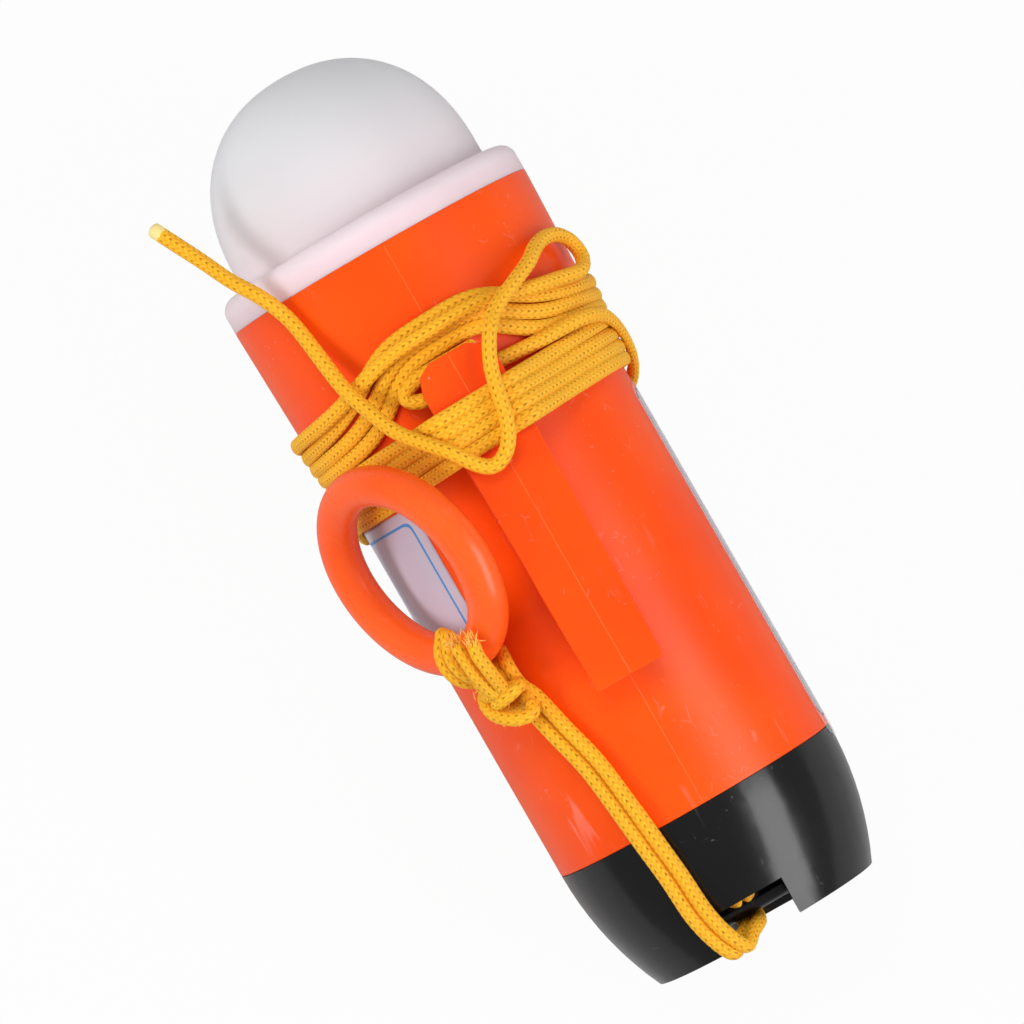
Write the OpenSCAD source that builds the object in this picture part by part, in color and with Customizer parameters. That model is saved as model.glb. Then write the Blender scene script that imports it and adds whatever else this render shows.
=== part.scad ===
/* [Tube] */
// outside diameter of the straight tube
body_d = 61; // [58:0.5:76]
// how much wider the lens rim is than the straight tube
flare = 5; // [3:0.5:7]
// length of the tube from the end cap to the lens rim
body_len = 125.3; // [122:0.1:155]
// wall thickness of the tube
wall = 2.2; // [1.6:0.1:2.7]

/* [End cap] */
// length of the end cap
cap_len = 28.1; // [26:0.1:34]
// depth of the open recess in the end
recess_depth = 12.5; // [11.8:0.1:13.5]
// width of the cord notch in the end rim
notch_w = 17; // [16:0.5:22]
// diameter of the bar that anchors the tether
bar_d = 4; // [3:0.1:4.2]

/* [Lens] */
// height of the lens flange
flange_h = 6.6; // [5:0.1:8]
// height of the dome above its straight foot
dome_h = 29.7; // [24:0.1:36]
// wall thickness of the lens
lens_wall = 2.4; // [1.6:0.1:3]

/* [Tongue] */
// length of the hanging tongue
tongue_len = 71.3; // [60:0.1:72]
// width of the tongue at its open end
tongue_w = 16.4; // [13.6:0.1:17]
// thickness of the tongue plate
tongue_t = 3; // [2.4:0.1:3.2]
// width of the central web
web_w = 5; // [4:0.1:6]

/* [Cord and ring] */
// diameter of the cord
cord_d = 3; // [2.4:0.1:3.1]
// thickness of the cord where it is wound flat
wound_t = 2; // [1.6:0.1:2.4]
// centre line diameter of the pull ring
ring_d = 38.6; // [32:0.1:39]
// thickness of the pull ring
ring_t = 8; // [6.6:0.1:8.1]

/* [Inside] */
// diameter of a battery cell
cell_d = 14.4; // [12:0.1:14.6]
// length of a battery cell without its button
cell_len = 49.7; // [41:0.1:50]
// diameter of the tilt switch ball
ball_d = 5.8; // [4.8:0.1:6]
// travel of the tilt switch ball
ball_travel = 6; // [5:0.1:7.2]

/* [Hidden] */
$fn = 96;
rb = body_d / 2;
rr = rb + flare / 2;
rk = rb + flare * 0.34;
zc = cap_len;
zr = zc + body_len;
k1 = zr - 43.4;
k2 = zr - 25.4;
clear = 0.3;
yt = rb + 8.8;
t0 = zr - 96.2;
t1 = t0 + tongue_len;
cap_arc = 65.8;
bar_y = 14.5 - rb;
bar_z = 6;
nx = -2.5;
px = 7.7;
z_hold = zc - 4.8;
z_cell = z_hold + 3.2;
z_plate = z_cell + cell_len + 1.1;
z_mid = z_plate + 3.5;
z_board = zr - 13.3;
wx = 10;
wy = 8;
sx = 19.5;
yaw = -146.7;
tilt = 97;
un = [-cos(yaw) * cos(tilt), -sin(yaw) * cos(tilt), sin(tilt)];
rc = [-26.6 - (rb - 30.5) * 0.75, -28 - (rb - 30.5) * 0.7, zr - 58];
rbot = rc - un * ring_d / 2;
lo_in = rb + 1;
up_in = rk + 0.6;
up_out = up_in + wound_t;
squash = 0.3;
lie = atan((up_out - squash - rb) / (zr - 27 - zc));
axis_h = rb * cos(lie) - zc * sin(lie);

function rcap(z) = rb - (cap_arc - sqrt(cap_arc * cap_arc - (zc - z) * (zc - z)));
y_mid = (rcap(0) * sin(lie) - (zr + flange_h + 3.3 + dome_h) * cos(lie)) / 2;
function unit(v) = v / norm(v);
function cy(a, r, z) = [r * sin(a), -r * cos(a), z];
function normals(t, i, n) = i >= len(t) ? [] : let(m = unit(n - (n * t[i]) * t[i])) concat([m], normals(t, i + 1, m));

module lay() translate([0, y_mid, axis_h]) rotate([-90 + lie, 0, 0]) children();

module cord(p, d, s = 8) {
    n = len(p);
    t = [for (i = [0:n - 1]) unit(p[min(i + 1, n - 1)] - p[max(i - 1, 0)])];
    m = normals(t, 0, unit([0.31, 0.52, 0.79]));
    pts = [for (i = [0:n - 1], j = [0:s - 1]) p[i] + d / 2 * (cos(360 * j / s) * m[i] + sin(360 * j / s) * cross(t[i], m[i]))];
    f = concat([[for (j = [0:s - 1]) j]], [[for (j = [0:s - 1]) n * s - 1 - j]],
        [for (i = [0:n - 2], j = [0:s - 1]) [i * s + j, (i + 1) * s + j, (i + 1) * s + (j + 1) % s]],
        [for (i = [0:n - 2], j = [0:s - 1]) [i * s + j, (i + 1) * s + (j + 1) % s, i * s + (j + 1) % s]]);
    polyhedron(pts, f);
}

// a closed band round the tube; q lists for each angle its inner radius, outer radius, lower and upper edge
module band(q) {
    n = len(q);
    s = 6;
    c = wound_t * 0.4;
    pts = [for (i = [0:n - 1], j = [0:s - 1])
        let(a = -180 + 360 * i / n, ri = q[i][0], ro = q[i][1], zl = q[i][2], zh = q[i][3])
        j == 0 ? cy(a, ri, zl) : j == 1 ? cy(a, ro - c, zl) : j == 2 ? cy(a, ro, zl + c) : j == 3 ? cy(a, ro, zh - c) : j == 4 ? cy(a, ro - c, zh) : cy(a, ri, zh)];
    f = concat(
        [for (i = [0:n - 1], j = [0:s - 1]) let(k = (i + 1) % n, l = (j + 1) % s) [i * s + j, i * s + l, k * s + l]],
        [for (i = [0:n - 1], j = [0:s - 1]) let(k = (i + 1) % n, l = (j + 1) % s) [i * s + j, k * s + l, k * s + j]]);
    polyhedron(pts, f);
}

module above_floor() translate([-150, -200, 0]) cube([300, 400, 200]);

module tube_outside() rotate_extrude() polygon([[0, zc], [rb, zc], [rb, k1], [rk, k2], [rr, zr], [0, zr]]);

module torus(r, t) rotate_extrude() translate([r, 0]) circle(d = t, $fn = 48);

module body_tube() color([0.98, 0.33, 0.06]) lay() union() {
    rotate_extrude() polygon([[rb, zc], [rb, k1], [rk, k2], [rr, zr], [rr - wall, zr], [rk - wall, k2], [rb - wall, k1], [rb - wall, zc]]);
    translate([-0.3, -rb - 0.25, zc + 1]) cube([0.6, 1, t0 - zc - 2]);
}

module hanging_tongue() color([0.98, 0.33, 0.06]) lay() difference() {
    union() {
        translate([0, -yt + tongue_t, 0]) rotate([90, 0, 0]) linear_extrude(tongue_t)
            polygon([[1.3 - tongue_w / 2, t0], [tongue_w / 2 - 1.3, t0], [tongue_w / 2 - 0.8, t0 + 0.5], [tongue_w / 2, t1 - 5], [tongue_w / 2 - 1.2, t1 - 1.6], [tongue_w / 2 - 4.2, t1], [4.2 - tongue_w / 2, t1], [1.2 - tongue_w / 2, t1 - 1.6], [-tongue_w / 2, t1 - 5], [0.8 - tongue_w / 2, t0 + 0.5]]);
        translate([-web_w / 2, -yt + 1, t0]) cube([web_w, 12, tongue_len - 15.5]);
    }
    tube_outside();
}

module lens_dome() color([0.86, 0.85, 0.87, 0.7]) lay() difference() {
    a = rr - 5.6;
    z1 = zr + flange_h + 3.3;
    rotate_extrude() polygon(concat(
        [[0, zr - 7.4], [rr - wall - 0.7, zr - 7.4], [rr - wall - 0.7, zr - 4.6], [rr - wall - 2.3, zr - 4.6], [rr - wall - 2.3, zr - 2.4], [rr - wall - 0.7, zr - 2.4], [rr - wall - 0.7, zr], [rr, zr], [rr, zr + flange_h - 3]],
        [for (i = [1:4]) [rr - 3 + 3 * cos(22.5 * i), zr + flange_h - 3 + 3 * sin(22.5 * i)]],
        [[a, zr + flange_h], [a, z1]],
        [for (i = [1:11]) let(g = 90 * i / 12) [a * pow(cos(g), 0.909), z1 + dome_h * pow(sin(g), 0.909)]],
        [[0, z1 + dome_h]]));
    b = a - lens_wall;
    rotate_extrude() polygon(concat([[0, zr - 8], [b, zr - 8], [b, z1]],
        [for (i = [1:11]) let(g = 90 * i / 12) [b * pow(cos(g), 0.909), z1 + (dome_h - lens_wall) * pow(sin(g), 0.909)]],
        [[0, z1 + dome_h - lens_wall]]));
}

module lens_seal() color([0.1, 0.1, 0.1]) lay() translate([0, 0, zr - 3.5]) torus(rr - wall - 1.4, 1.8);

module end_cap() color([0.08, 0.08, 0.08]) lay() {
    difference() {
        rotate_extrude() polygon(concat([[0, 0]], [for (i = [0:9]) [rcap(zc * i / 9), zc * i / 9]],
            [[rb - wall - 0.4, zc], [rb - wall - 0.4, zc + 2.8], [rb - wall - 2, zc + 2.8], [rb - wall - 2, zc + 5], [rb - wall - 0.4, zc + 5], [rb - wall - 0.4, zc + 8], [0, zc + 8]]));
        translate([0, 0, -1]) cylinder(r = rcap(0) - 2.2, h = recess_depth + 1);
        translate([0, 0, recess_depth + 2.5]) cylinder(r = rb - 5.2, h = 60);
        translate([nx - notch_w / 2, -rb - 5, -1]) cube([notch_w, rb - 15, 9]);
    }
    translate([-16.6, bar_y, bar_z]) rotate([0, 90, 0]) cylinder(d = bar_d, h = 33.2);
}

module cap_seal() color([0.1, 0.1, 0.1]) lay() translate([0, 0, zc + 3.9]) torus(rb - wall - 1.1, 1.8);

module ballast_disc() color([0.6, 0.6, 0.62]) lay() translate([0, 0, recess_depth + 2.5]) cylinder(r = rb - 6.5, h = zc - recess_depth - 9.4);

module chassis() color([0.8, 0.8, 0.78]) lay() difference() {
    union() {
        translate([0, 0, zc - 4.9 - 2]) cylinder(r = rb - 5.5, h = 2);
        for (a = [0:90:270]) rotate([0, 0, a]) translate([rb - 9.5, 0, zc - 6]) cylinder(r = 2, h = z_board - zc + 5);
        translate([0, 0, z_mid]) cylinder(r = rb - 8, h = 2);
        translate([0, 0, z_board - 2]) cylinder(r = rb - 5, h = 2);
    }
    for (s = [-1, 1]) {
        translate([s * wx, -s * wy, z_mid - 1]) cylinder(r = 1.2, h = 90);
        translate([s * 14, s * 14, z_board - 4]) cylinder(r = 1.6, h = 8);
    }
}

module cell_holder() color([0.15, 0.15, 0.16]) lay() difference() {
    translate([-16.3, -16.3, z_hold - 0.1]) cube([32.6, 32.6, z_plate - z_hold + 0.1]);
    for (a = [-px, px], b = [-px, px]) translate([a, b, z_cell - 0.6]) cylinder(d = cell_d + 0.4, h = 90);
}

module cell(a, b) color([0.2, 0.45, 0.3]) lay() translate([a, b, z_cell]) {
    cylinder(d = cell_d, h = cell_len);
    translate([0, 0, cell_len - 0.1]) cylinder(r = 2.7, h = 1.2);
}
module cell_1() cell(-px, -px);
module cell_2() cell(px, -px);
module cell_3() cell(-px, px);
module cell_4() cell(px, px);

module contact_springs() color([0.75, 0.75, 0.77]) lay() for (a = [-px, px], b = [-px, px]) translate([a, b, z_cell - 0.6]) cylinder(r1 = 4.4, r2 = 3, h = 0.6);

module contact_plates() color([0.75, 0.75, 0.77]) lay() for (a = [-px, px]) translate([a - 5, -12.5, z_plate]) cube([10, 25, 0.5]);

module led_board() color([0.1, 0.35, 0.2]) lay() difference() {
    translate([0, 0, z_board]) cylinder(r = rb - 7.5, h = 1.6);
    for (s = [-1, 1]) translate([s * 14, s * 14, z_board - 1]) cylinder(r = 1.6, h = 4);
}

module led_emitters() color([0.95, 0.9, 0.6]) lay() for (a = [0:90:270]) rotate([0, 0, a]) translate([6, 0, z_board + 1.6]) {
    translate([-1.75, -1.75, 0]) cube([3.5, 3.5, 0.9]);
    translate([0, 0, 0.8]) cylinder(r1 = 1.5, r2 = 0.9, h = 1);
}

module reflector() color([0.85, 0.85, 0.87]) lay() translate([0, 0, z_board + 1.6]) rotate_extrude() polygon([[10, 0], [12.5, 0], [14, 1.6], [20.5, 9], [20, 9.6], [13, 2.6], [10, 1.4]]);

module tilt_switch_tube() color([0.7, 0.7, 0.72]) lay() translate([0, 0, z_mid + 2]) difference() {
    cylinder(d = ball_d + 1.8, h = ball_d + ball_travel + 1.6);
    translate([0, 0, 0.8]) cylinder(d = ball_d + 0.2, h = ball_d + ball_travel);
}

module tilt_ball() color([0.8, 0.8, 0.82]) lay() translate([0, 0, z_mid + 2.8 + ball_d / 2]) sphere(d = ball_d - 0.02);

module tilt_contacts() color([0.8, 0.7, 0.3]) lay() for (s = [-1, 1]) translate([s * 1.6, 0, z_mid + 3.6 + ball_d + ball_travel]) cylinder(r = 0.4, h = 6);

module wire_red() color([0.8, 0.1, 0.1]) lay() translate([wx, -wy, z_plate + 0.5]) cylinder(r = 0.7, h = z_board - z_plate - 0.5);
module wire_black() color([0.05, 0.05, 0.05]) lay() translate([-wx, wy, z_plate + 0.5]) cylinder(r = 0.7, h = z_board - z_plate - 0.5);

module board_screws() color([0.7, 0.7, 0.72]) lay() for (s = [-1, 1]) translate([s * 14, s * 14, z_board - 3]) {
    cylinder(r = 1.4, h = 4.6);
    translate([0, 0, 4.6]) cylinder(r = 2.6, h = 0.9);
}

// thin bent sheet from angle a, b degrees long, between heights c and d
module sheet(a, b, r, t, c, d) rotate([0, 0, a - 90]) rotate_extrude(angle = b) translate([r, c]) square([t, d - c]);

module label_side() color([0.75, 0.73, 0.8]) lay() sheet(-137, 95, rb, 0.2, t0 + 16.8, zr - 46.8);
module label_back() color([0.8, 0.79, 0.82]) lay() sheet(75, 86, rb, 0.2, zc + 2, zr - 48.5);
module label_film() color([0.9, 0.9, 0.92, 0.3]) lay() sheet(72, 92, rb + 0.2, 0.2, zc - 2.5, zr - 47);

module pull_ring() color([1, 0.4, 0.2]) lay() translate(rc) rotate([0, tilt, yaw]) torus(ring_d / 2, ring_t);

leg = cord_d / 2 + 0.15;
e = rb - 30.5;
function up_run(s) = [for (q = [[-19.1, 32.7, zr - 92.8], [-17.2, 32.6, zr - 99.3], [-15, 32.6, zr - 108.4], [-13.6, 32.6, zc + 5], [-12.8, 32.6, zc - 3], [-12.1, 32.1, zc - 9.5], [-11.5, 30.7, zc - 18.1], [-10.1, 29.3, 4]])
    [q[0] + s * leg, -sqrt(pow(q[1] + e, 2) - pow(q[0] + s * leg, 2)), q[2]]];
in_run = [[-7.9, bar_y - 9.4, -0.3], [-5.5, bar_y - 6, 1.2], [-3.6, bar_y - 3, 2], [-2.8, bar_y, 2.2], [-2.6, bar_y + 2.8, 3.4], [-2.5, bar_y + 3.8, 6], [-2.5, bar_y + 2.8, 8.6]];
n_in = len(in_run);
down = up_run(1);
tether_path = concat(up_run(-1), [for (q = in_run) q - [leg, 0, 0]],
    [[-5.1, bar_y, 9.8], [-4.9, bar_y - 2.4, 9], [-2.5, bar_y - 3.7, 7.7], [-0.1, bar_y - 2.4, 9], [0.1, bar_y, 9.8]],
    [for (i = [0:n_in - 1]) in_run[n_in - 1 - i] + [leg, 0, 0]],
    [for (i = [0:len(down) - 1]) down[len(down) - 1 - i]]);
module tether_cord() color([0.98, 0.7, 0.15]) lay() cord(tether_path, cord_d);

kn = [-22 - e * 0.6, -28.8 - e * 0.8, zr - 92.5];
module tether_knot() color([0.98, 0.7, 0.15]) lay() {
    translate(kn) rotate_extrude() polygon([[0, 0], [3, 0], [4.3, 1.4], [4.7, 4], [4.7, 6.6], [4.3, 8.4], [3.4, 9.6], [0, 9.8]]);
    difference() {
        translate(rbot) rotate([0, 90, yaw + 90]) torus(ring_t / 2 + 0.35 + cord_d / 2, cord_d);
        rotate_extrude() square([rb + 0.5, 200]);
    }
}

// inner radius of a cord pulled tight over the tube and the tongue
ac = atan((tongue_w / 2 + 0.5) / (yt + 0.35));
rp = (yt + 0.35) / cos(ac);
at = ac + acos(lo_in / rp);
function tight(a) = abs(a) <= ac ? (yt + 0.35) / cos(a) : abs(a) < at ? lo_in / cos(at - abs(a)) : lo_in;
function bell(a, w) = 1 / (1 + pow(abs(a) / w, 4));
function hill(a) = abs(a) < 90 ? cos(a) * cos(a) : 0;
module lanyard_coil_lower() color([0.98, 0.7, 0.15]) intersection() {
    lay() band([for (i = [0:119]) let(a = -180 + 3 * i) [tight(a), tight(a) + wound_t + 0.2, zr - 46.4, zr - 35]]);
    above_floor();
}
module lanyard_coil_upper() color([0.98, 0.7, 0.15]) intersection() {
    lay() band([for (i = [0:119]) let(a = -180 + 3 * i) [up_in, up_out + 1.9 * bell(a, 34), zr - 34.7 + 12.7 * bell(a, 25), zr - 24.5 + 8 * hill(a)]]);
    above_floor();
}

tail_path = concat([for (q = [[80, 36.8, 122], [74, 36.7, 128.5], [69, 36.1, 133.5], [62, 35.7, 137], [54, 35.5, 138.6], [46, 36, 138.2], [38, 37.7, 136.4], [28, 38.9, 134.2], [18, 40.3, 131.4], [12, 42.5, 127.5], [8, 43, 122], [6, 44.4, 116.5], [4.5, 44.5, 111.5], [2, 44.4, 107.6], [-1.5, 44.3, 105.2], [-5, 44.3, 105.4], [-8.5, 44.6, 108], [-12, 45, 112], [-18, 42.6, 116], [-24, 40.6, 120.5], [-29, 39.2, 126.5], [-33, 38.6, 132], [-36, 37.4, 138.5], [-38.5, 36.5, 144], [-41, 36.3, 150], [-44, 36.8, 156]])
        cy(q[0], q[1] + e + 0.15, q[2] + zr - 153.4)],
    [for (q = [[-29, -24.5, 162], [-31.6, -22, 168], [-34.6, -20.5, 173.6], [-37.2, -19.5, 179]]) q + [-e, -e, zr - 153.4]]);
module lanyard_tail() color([0.98, 0.7, 0.15]) lay() cord(tail_path, cord_d);

ys = -(rk + yt - tongue_t) / 2;
start_path = [for (q = [[7, 0, 122.6], [0, 0, 122.6], [-6, 0, 122.6], [-9.5, 0.4, 123], [-11.6, 0.9, 124.9], [-9.5, 0.4, 126.8], [-6, 0, 127.2], [0, 0, 127.2], [7, 0, 127.2]]) [q[0], ys + q[1], q[2] + zr - 153.4]];
module lanyard_start() color([0.98, 0.7, 0.15]) lay() cord(start_path, cord_d);

body_tube();
hanging_tongue();
lens_dome();
lens_seal();
end_cap();
cap_seal();
ballast_disc();
chassis();
cell_holder();
cell_1();
cell_2();
cell_3();
cell_4();
contact_springs();
contact_plates();
led_board();
led_emitters();
reflector();
tilt_switch_tube();
tilt_ball();
tilt_contacts();
wire_red();
wire_black();
board_screws();
label_side();
label_back();
label_film();
pull_ring();
tether_cord();
tether_knot();
lanyard_coil_lower();
lanyard_coil_upper();
lanyard_tail();
lanyard_start();
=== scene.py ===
"""A lifebuoy light lying on its back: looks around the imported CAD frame."""

import math

import bmesh
import bpy
import numpy as np
from mathutils import Matrix, Vector


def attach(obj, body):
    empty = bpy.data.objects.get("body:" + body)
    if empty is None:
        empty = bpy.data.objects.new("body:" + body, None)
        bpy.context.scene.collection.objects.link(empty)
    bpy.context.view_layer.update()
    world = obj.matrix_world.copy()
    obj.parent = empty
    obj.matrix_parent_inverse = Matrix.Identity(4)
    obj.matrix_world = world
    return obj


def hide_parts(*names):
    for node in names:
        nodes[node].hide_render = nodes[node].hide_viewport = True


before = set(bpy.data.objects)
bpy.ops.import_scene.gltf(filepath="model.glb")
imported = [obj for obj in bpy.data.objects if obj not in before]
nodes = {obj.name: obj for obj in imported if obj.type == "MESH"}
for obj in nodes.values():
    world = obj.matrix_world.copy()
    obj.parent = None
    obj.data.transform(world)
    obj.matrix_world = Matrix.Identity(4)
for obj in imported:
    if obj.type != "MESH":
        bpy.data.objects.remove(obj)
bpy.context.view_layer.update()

# ---------------------------------------------------------------- the tube's own frame, in mm, as in the CAD
# z runs along the tube from the cap's end to the dome, -y is the side with the tongue
MM = 0.001
BODY_R = 30.5  # tube below the collar
COLLAR_R = 32.2
RIM_R = 33.0
WALL = 2.2
CAP_Z = 28.1  # seam of cap and tube
RIM_Z = 153.4  # seam of tube and lens
COLLAR_LOW = RIM_Z - 43.4
COLLAR_HIGH = RIM_Z - 25.4
TONGUE_FACE = BODY_R + 8.8
TONGUE_HALF_W = 8.9  # to where a cord bends over its edge
TONGUE_LOW = RIM_Z - 96.2
TONGUE_HIGH = RIM_Z - 24.9
BAR_Y = 14.5 - BODY_R  # anchor bar in the cap
LENGTH = 193.0
CAP_ARC = 65.8  # radius of the cap's outline
CORD = 3.0
WOUND = 2.0  # thickness of the cord where it is wound tight

# the light lies on the cap's seam and on the windings, which tilt it
WINDINGS_R = COLLAR_R + 0.6 + WOUND - 0.3
WINDINGS_Z = RIM_Z - 27
LIE = math.atan((WINDINGS_R - BODY_R) / (WINDINGS_Z - CAP_Z))
COS_LIE = math.cos(LIE)
SIN_LIE = math.sin(LIE)
AXIS_H = BODY_R * COS_LIE - CAP_Z * SIN_LIE


def cap_radius(z):
    return BODY_R - (CAP_ARC - math.sqrt(CAP_ARC**2 - (CAP_Z - z) ** 2))


Y_MID = (cap_radius(0) * SIN_LIE - LENGTH * COS_LIE) / 2


def lay(p):
    """Points of the tube's frame, in mm, in the row frame, in metres."""
    p = np.asarray(p, float)
    x, y, z = p[..., 0], p[..., 1], p[..., 2]
    along = Y_MID + y * SIN_LIE + z * COS_LIE
    up = AXIS_H - y * COS_LIE + z * SIN_LIE
    return np.stack([x, along, up], -1) * MM


def tube_radius(z):
    return np.interp(z, [COLLAR_LOW, COLLAR_HIGH, RIM_Z], [BODY_R, COLLAR_R, RIM_R])


# ---------------------------------------------------------------- camera
TURN = math.radians(29.9)  # the tube's lean in the picture
ROLL = math.radians(2.0)  # how far the tongue is turned from the viewer
DISTANCE = 1.39
AXIS = Vector((0, COS_LIE, SIN_LIE))
OUT = Vector((0, -SIN_LIE, COS_LIE))
toward = (OUT * math.cos(ROLL) - Vector((1, 0, 0)) * math.sin(ROLL)).normalized()
side = AXIS.cross(toward).normalized()
cam_up = AXIS * math.cos(TURN) + side * math.sin(TURN)
cam_right = side * math.cos(TURN) - AXIS * math.sin(TURN)
aim = Vector(lay([-3.05, 0, 95.7]))


def placed(location, x, y, z):
    """The matrix of something at location with these three axes."""
    return Matrix.Translation(location) @ Matrix((x, y, z)).transposed().to_4x4()


cam = bpy.data.objects.new("camera", bpy.data.cameras.new("camera"))
cam.data.lens = 246.5
cam.data.sensor_width = 36
cam.data.clip_start = 0.05
cam.matrix_world = placed(aim + toward * DISTANCE, cam_right, cam_up, toward)
bpy.context.scene.collection.objects.link(cam)
bpy.context.scene.camera = cam


# ---------------------------------------------------------------- node helpers
class Mat:
    """A material and short ways to wire its nodes."""

    def __init__(self, name, color, rough=0.4, **inputs):
        self.material = bpy.data.materials.new(name)
        self.material.use_nodes = True
        self.tree = self.material.node_tree
        self.shader = self.tree.nodes["Principled BSDF"]
        self.shader.inputs["Base Color"].default_value = (*color, 1)
        self.shader.inputs["Roughness"].default_value = rough
        for socket, value in inputs.items():
            self.shader.inputs[socket.replace("_", " ")].default_value = value

    def put(self, socket, value):
        """Links a node's output to the socket, or sets its value."""
        if isinstance(value, bpy.types.NodeSocket):
            self.tree.links.new(value, socket)
        else:
            socket.default_value = value

    def set(self, name, value):
        self.put(self.shader.inputs[name], value)

    def math(self, operation, *values, clamp=False):
        n = self.tree.nodes.new("ShaderNodeMath")
        n.operation = operation
        n.use_clamp = clamp
        for socket, value in zip(n.inputs, values):
            self.put(socket, value)
        return n.outputs[0]

    def add(self, a, b):
        return self.math("ADD", a, b)

    def sub(self, a, b):
        return self.math("SUBTRACT", a, b)

    def mul(self, a, b):
        return self.math("MULTIPLY", a, b)

    def most(self, a, b):
        return self.math("MAXIMUM", a, b)

    def size(self, a):
        return self.math("ABSOLUTE", a)

    def coords(self, scale=(1, 1, 1)):
        source = self.tree.nodes.new("ShaderNodeTexCoord")
        mapping = self.tree.nodes.new("ShaderNodeMapping")
        mapping.inputs["Scale"].default_value = scale
        self.tree.links.new(source.outputs["Object"], mapping.inputs["Vector"])
        return mapping.outputs[0]

    def split(self, vector):
        n = self.tree.nodes.new("ShaderNodeSeparateXYZ")
        self.tree.links.new(vector, n.inputs[0])
        return n.outputs

    def uv(self):
        n = self.tree.nodes.new("ShaderNodeUVMap")
        n.uv_map = "UVMap"
        return self.split(n.outputs[0])[:2]

    def noise(self, scale, detail, vector=None):
        n = self.tree.nodes.new("ShaderNodeTexNoise")
        n.inputs["Scale"].default_value = scale
        n.inputs["Detail"].default_value = detail
        self.tree.links.new(vector or self.coords(), n.inputs["Vector"])
        return n.outputs["Fac"]

    def cells(self, scale):
        """Distance to the edge of irregular cells."""
        n = self.tree.nodes.new("ShaderNodeTexVoronoi")
        n.feature = "DISTANCE_TO_EDGE"
        n.inputs["Scale"].default_value = scale
        self.tree.links.new(self.coords((1, 0.7, 1)), n.inputs["Vector"])
        return n.outputs["Distance"]

    def ramp(self, value, low, high, first=0.0, last=1.0):
        """A smooth step: first at low, last at high."""
        n = self.tree.nodes.new("ShaderNodeMapRange")
        n.interpolation_type = "SMOOTHSTEP"
        for socket, v in zip(n.inputs, (value, low, high, first, last)):
            self.put(socket, v)
        return n.outputs[0]

    def mix(self, share, a, b):
        n = self.tree.nodes.new("ShaderNodeMix")
        n.data_type = "RGBA"
        self.put(n.inputs[0], share)
        for socket, v in ((n.inputs[6], a), (n.inputs[7], b)):
            self.put(socket, v if isinstance(v, bpy.types.NodeSocket) else (*v, 1))
        return n.outputs[2]

    def bump(self, height, strength, distance):
        n = self.tree.nodes.new("ShaderNodeBump")
        n.inputs["Strength"].default_value = strength
        n.inputs["Distance"].default_value = distance
        self.put(n.inputs["Height"], height)
        self.tree.links.new(n.outputs[0], self.shader.inputs["Normal"])


def darker(color, share):
    return tuple(c * share for c in color)


# ---------------------------------------------------------------- plastics and metals
def wear(m, dark, light, rough, scratched):
    """Moulded plastic: slow colour drift, fine orange peel, and short scratches and scuffs."""
    drift = m.ramp(m.noise(28, 2), 0.3, 0.7)
    streaks = m.ramp(m.noise(330, 2, m.coords((1, 0.13, 1))), 0.64, 0.73, 0.0, 0.6)
    scuffs = m.mul(streaks, m.ramp(m.noise(60, 2), 0.5, 0.72))
    specks = m.mul(m.ramp(m.noise(900, 2), 0.68, 0.76), m.ramp(m.noise(45, 3), 0.52, 0.66))
    short = m.mul(m.ramp(m.noise(420, 1), 0.56, 0.62), m.ramp(m.noise(52, 2), 0.5, 0.6))
    hairlines = m.mul(m.mul(m.ramp(m.cells(230), 0.004, 0.03, 1.0, 0.0), short), 0.38)
    marks = m.math("MULTIPLY", m.most(m.most(scuffs, specks), hairlines), scratched, clamp=True)
    scratched_color = tuple(min(1.0, c * 0.6 + 0.42) for c in light)
    m.set("Base Color", m.mix(m.mul(marks, 0.45), m.mix(drift, dark, light), scratched_color))
    m.set("Roughness", m.add(m.mul(m.noise(75, 4), 0.10), m.add(m.mul(marks, 0.25), rough - 0.05)))
    peel = m.mul(m.noise(700, 2), 0.35)
    m.bump(m.sub(peel, m.mul(marks, 0.8)), 0.12, 0.0001)


orange = Mat(
    "orange_shell", (1.0, 0.115, 0.008), 0.3,
    Subsurface_Weight=0.12, Subsurface_Radius=(0.006, 0.0015, 0.0005), Subsurface_Scale=1.0,
    Specular_IOR_Level=0.28,
)
wear(orange, (0.93, 0.066, 0.002), (0.99, 0.09, 0.003), 0.36, 0.9)

ring_mat = Mat(
    "orange_ring", (1.0, 0.12, 0.02), 0.24,
    Subsurface_Weight=0.2, Subsurface_Radius=(0.006, 0.002, 0.0008), Subsurface_Scale=1.0,
    Specular_IOR_Level=0.4,
)
wear(ring_mat, (0.97, 0.094, 0.009), (1.0, 0.125, 0.016), 0.27, 0.1)

black = Mat("black_cap", (0.006, 0.006, 0.0065), 0.2, Specular_IOR_Level=0.5)
wear(black, (0.002, 0.002, 0.0022), (0.004, 0.004, 0.0045), 0.2, 0.4)

# the lens is milky, and pinkish near the rim, where the orange tube shows through
lens = Mat(
    "frosted_lens", (0.72, 0.71, 0.73), 0.42,
    Subsurface_Weight=0.55, Subsurface_Radius=(0.009, 0.008, 0.009), Subsurface_Scale=1.0,
    Specular_IOR_Level=0.3,
)
rim_at = float(lay([0, 0, RIM_Z])[1])
lens_along = lens.split(lens.coords())[1]
near_rim = lens.ramp(lens_along, rim_at, rim_at + 0.03, 0.7, 0.0)
on_flange = lens.ramp(lens_along, rim_at, rim_at + 0.0085, 1.0, 0.0)
milk = lens.mix(lens.noise(35, 2), (0.75, 0.73, 0.77), (0.78, 0.76, 0.80))
lens.set("Base Color", lens.mix(lens.most(near_rim, on_flange), milk, (0.86, 0.65, 0.70)))
lens.set("Roughness", lens.add(lens.mul(lens.noise(120, 3), 0.1), 0.36))
lens.bump(lens.noise(1500, 2), 0.06, 0.00008)

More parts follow.
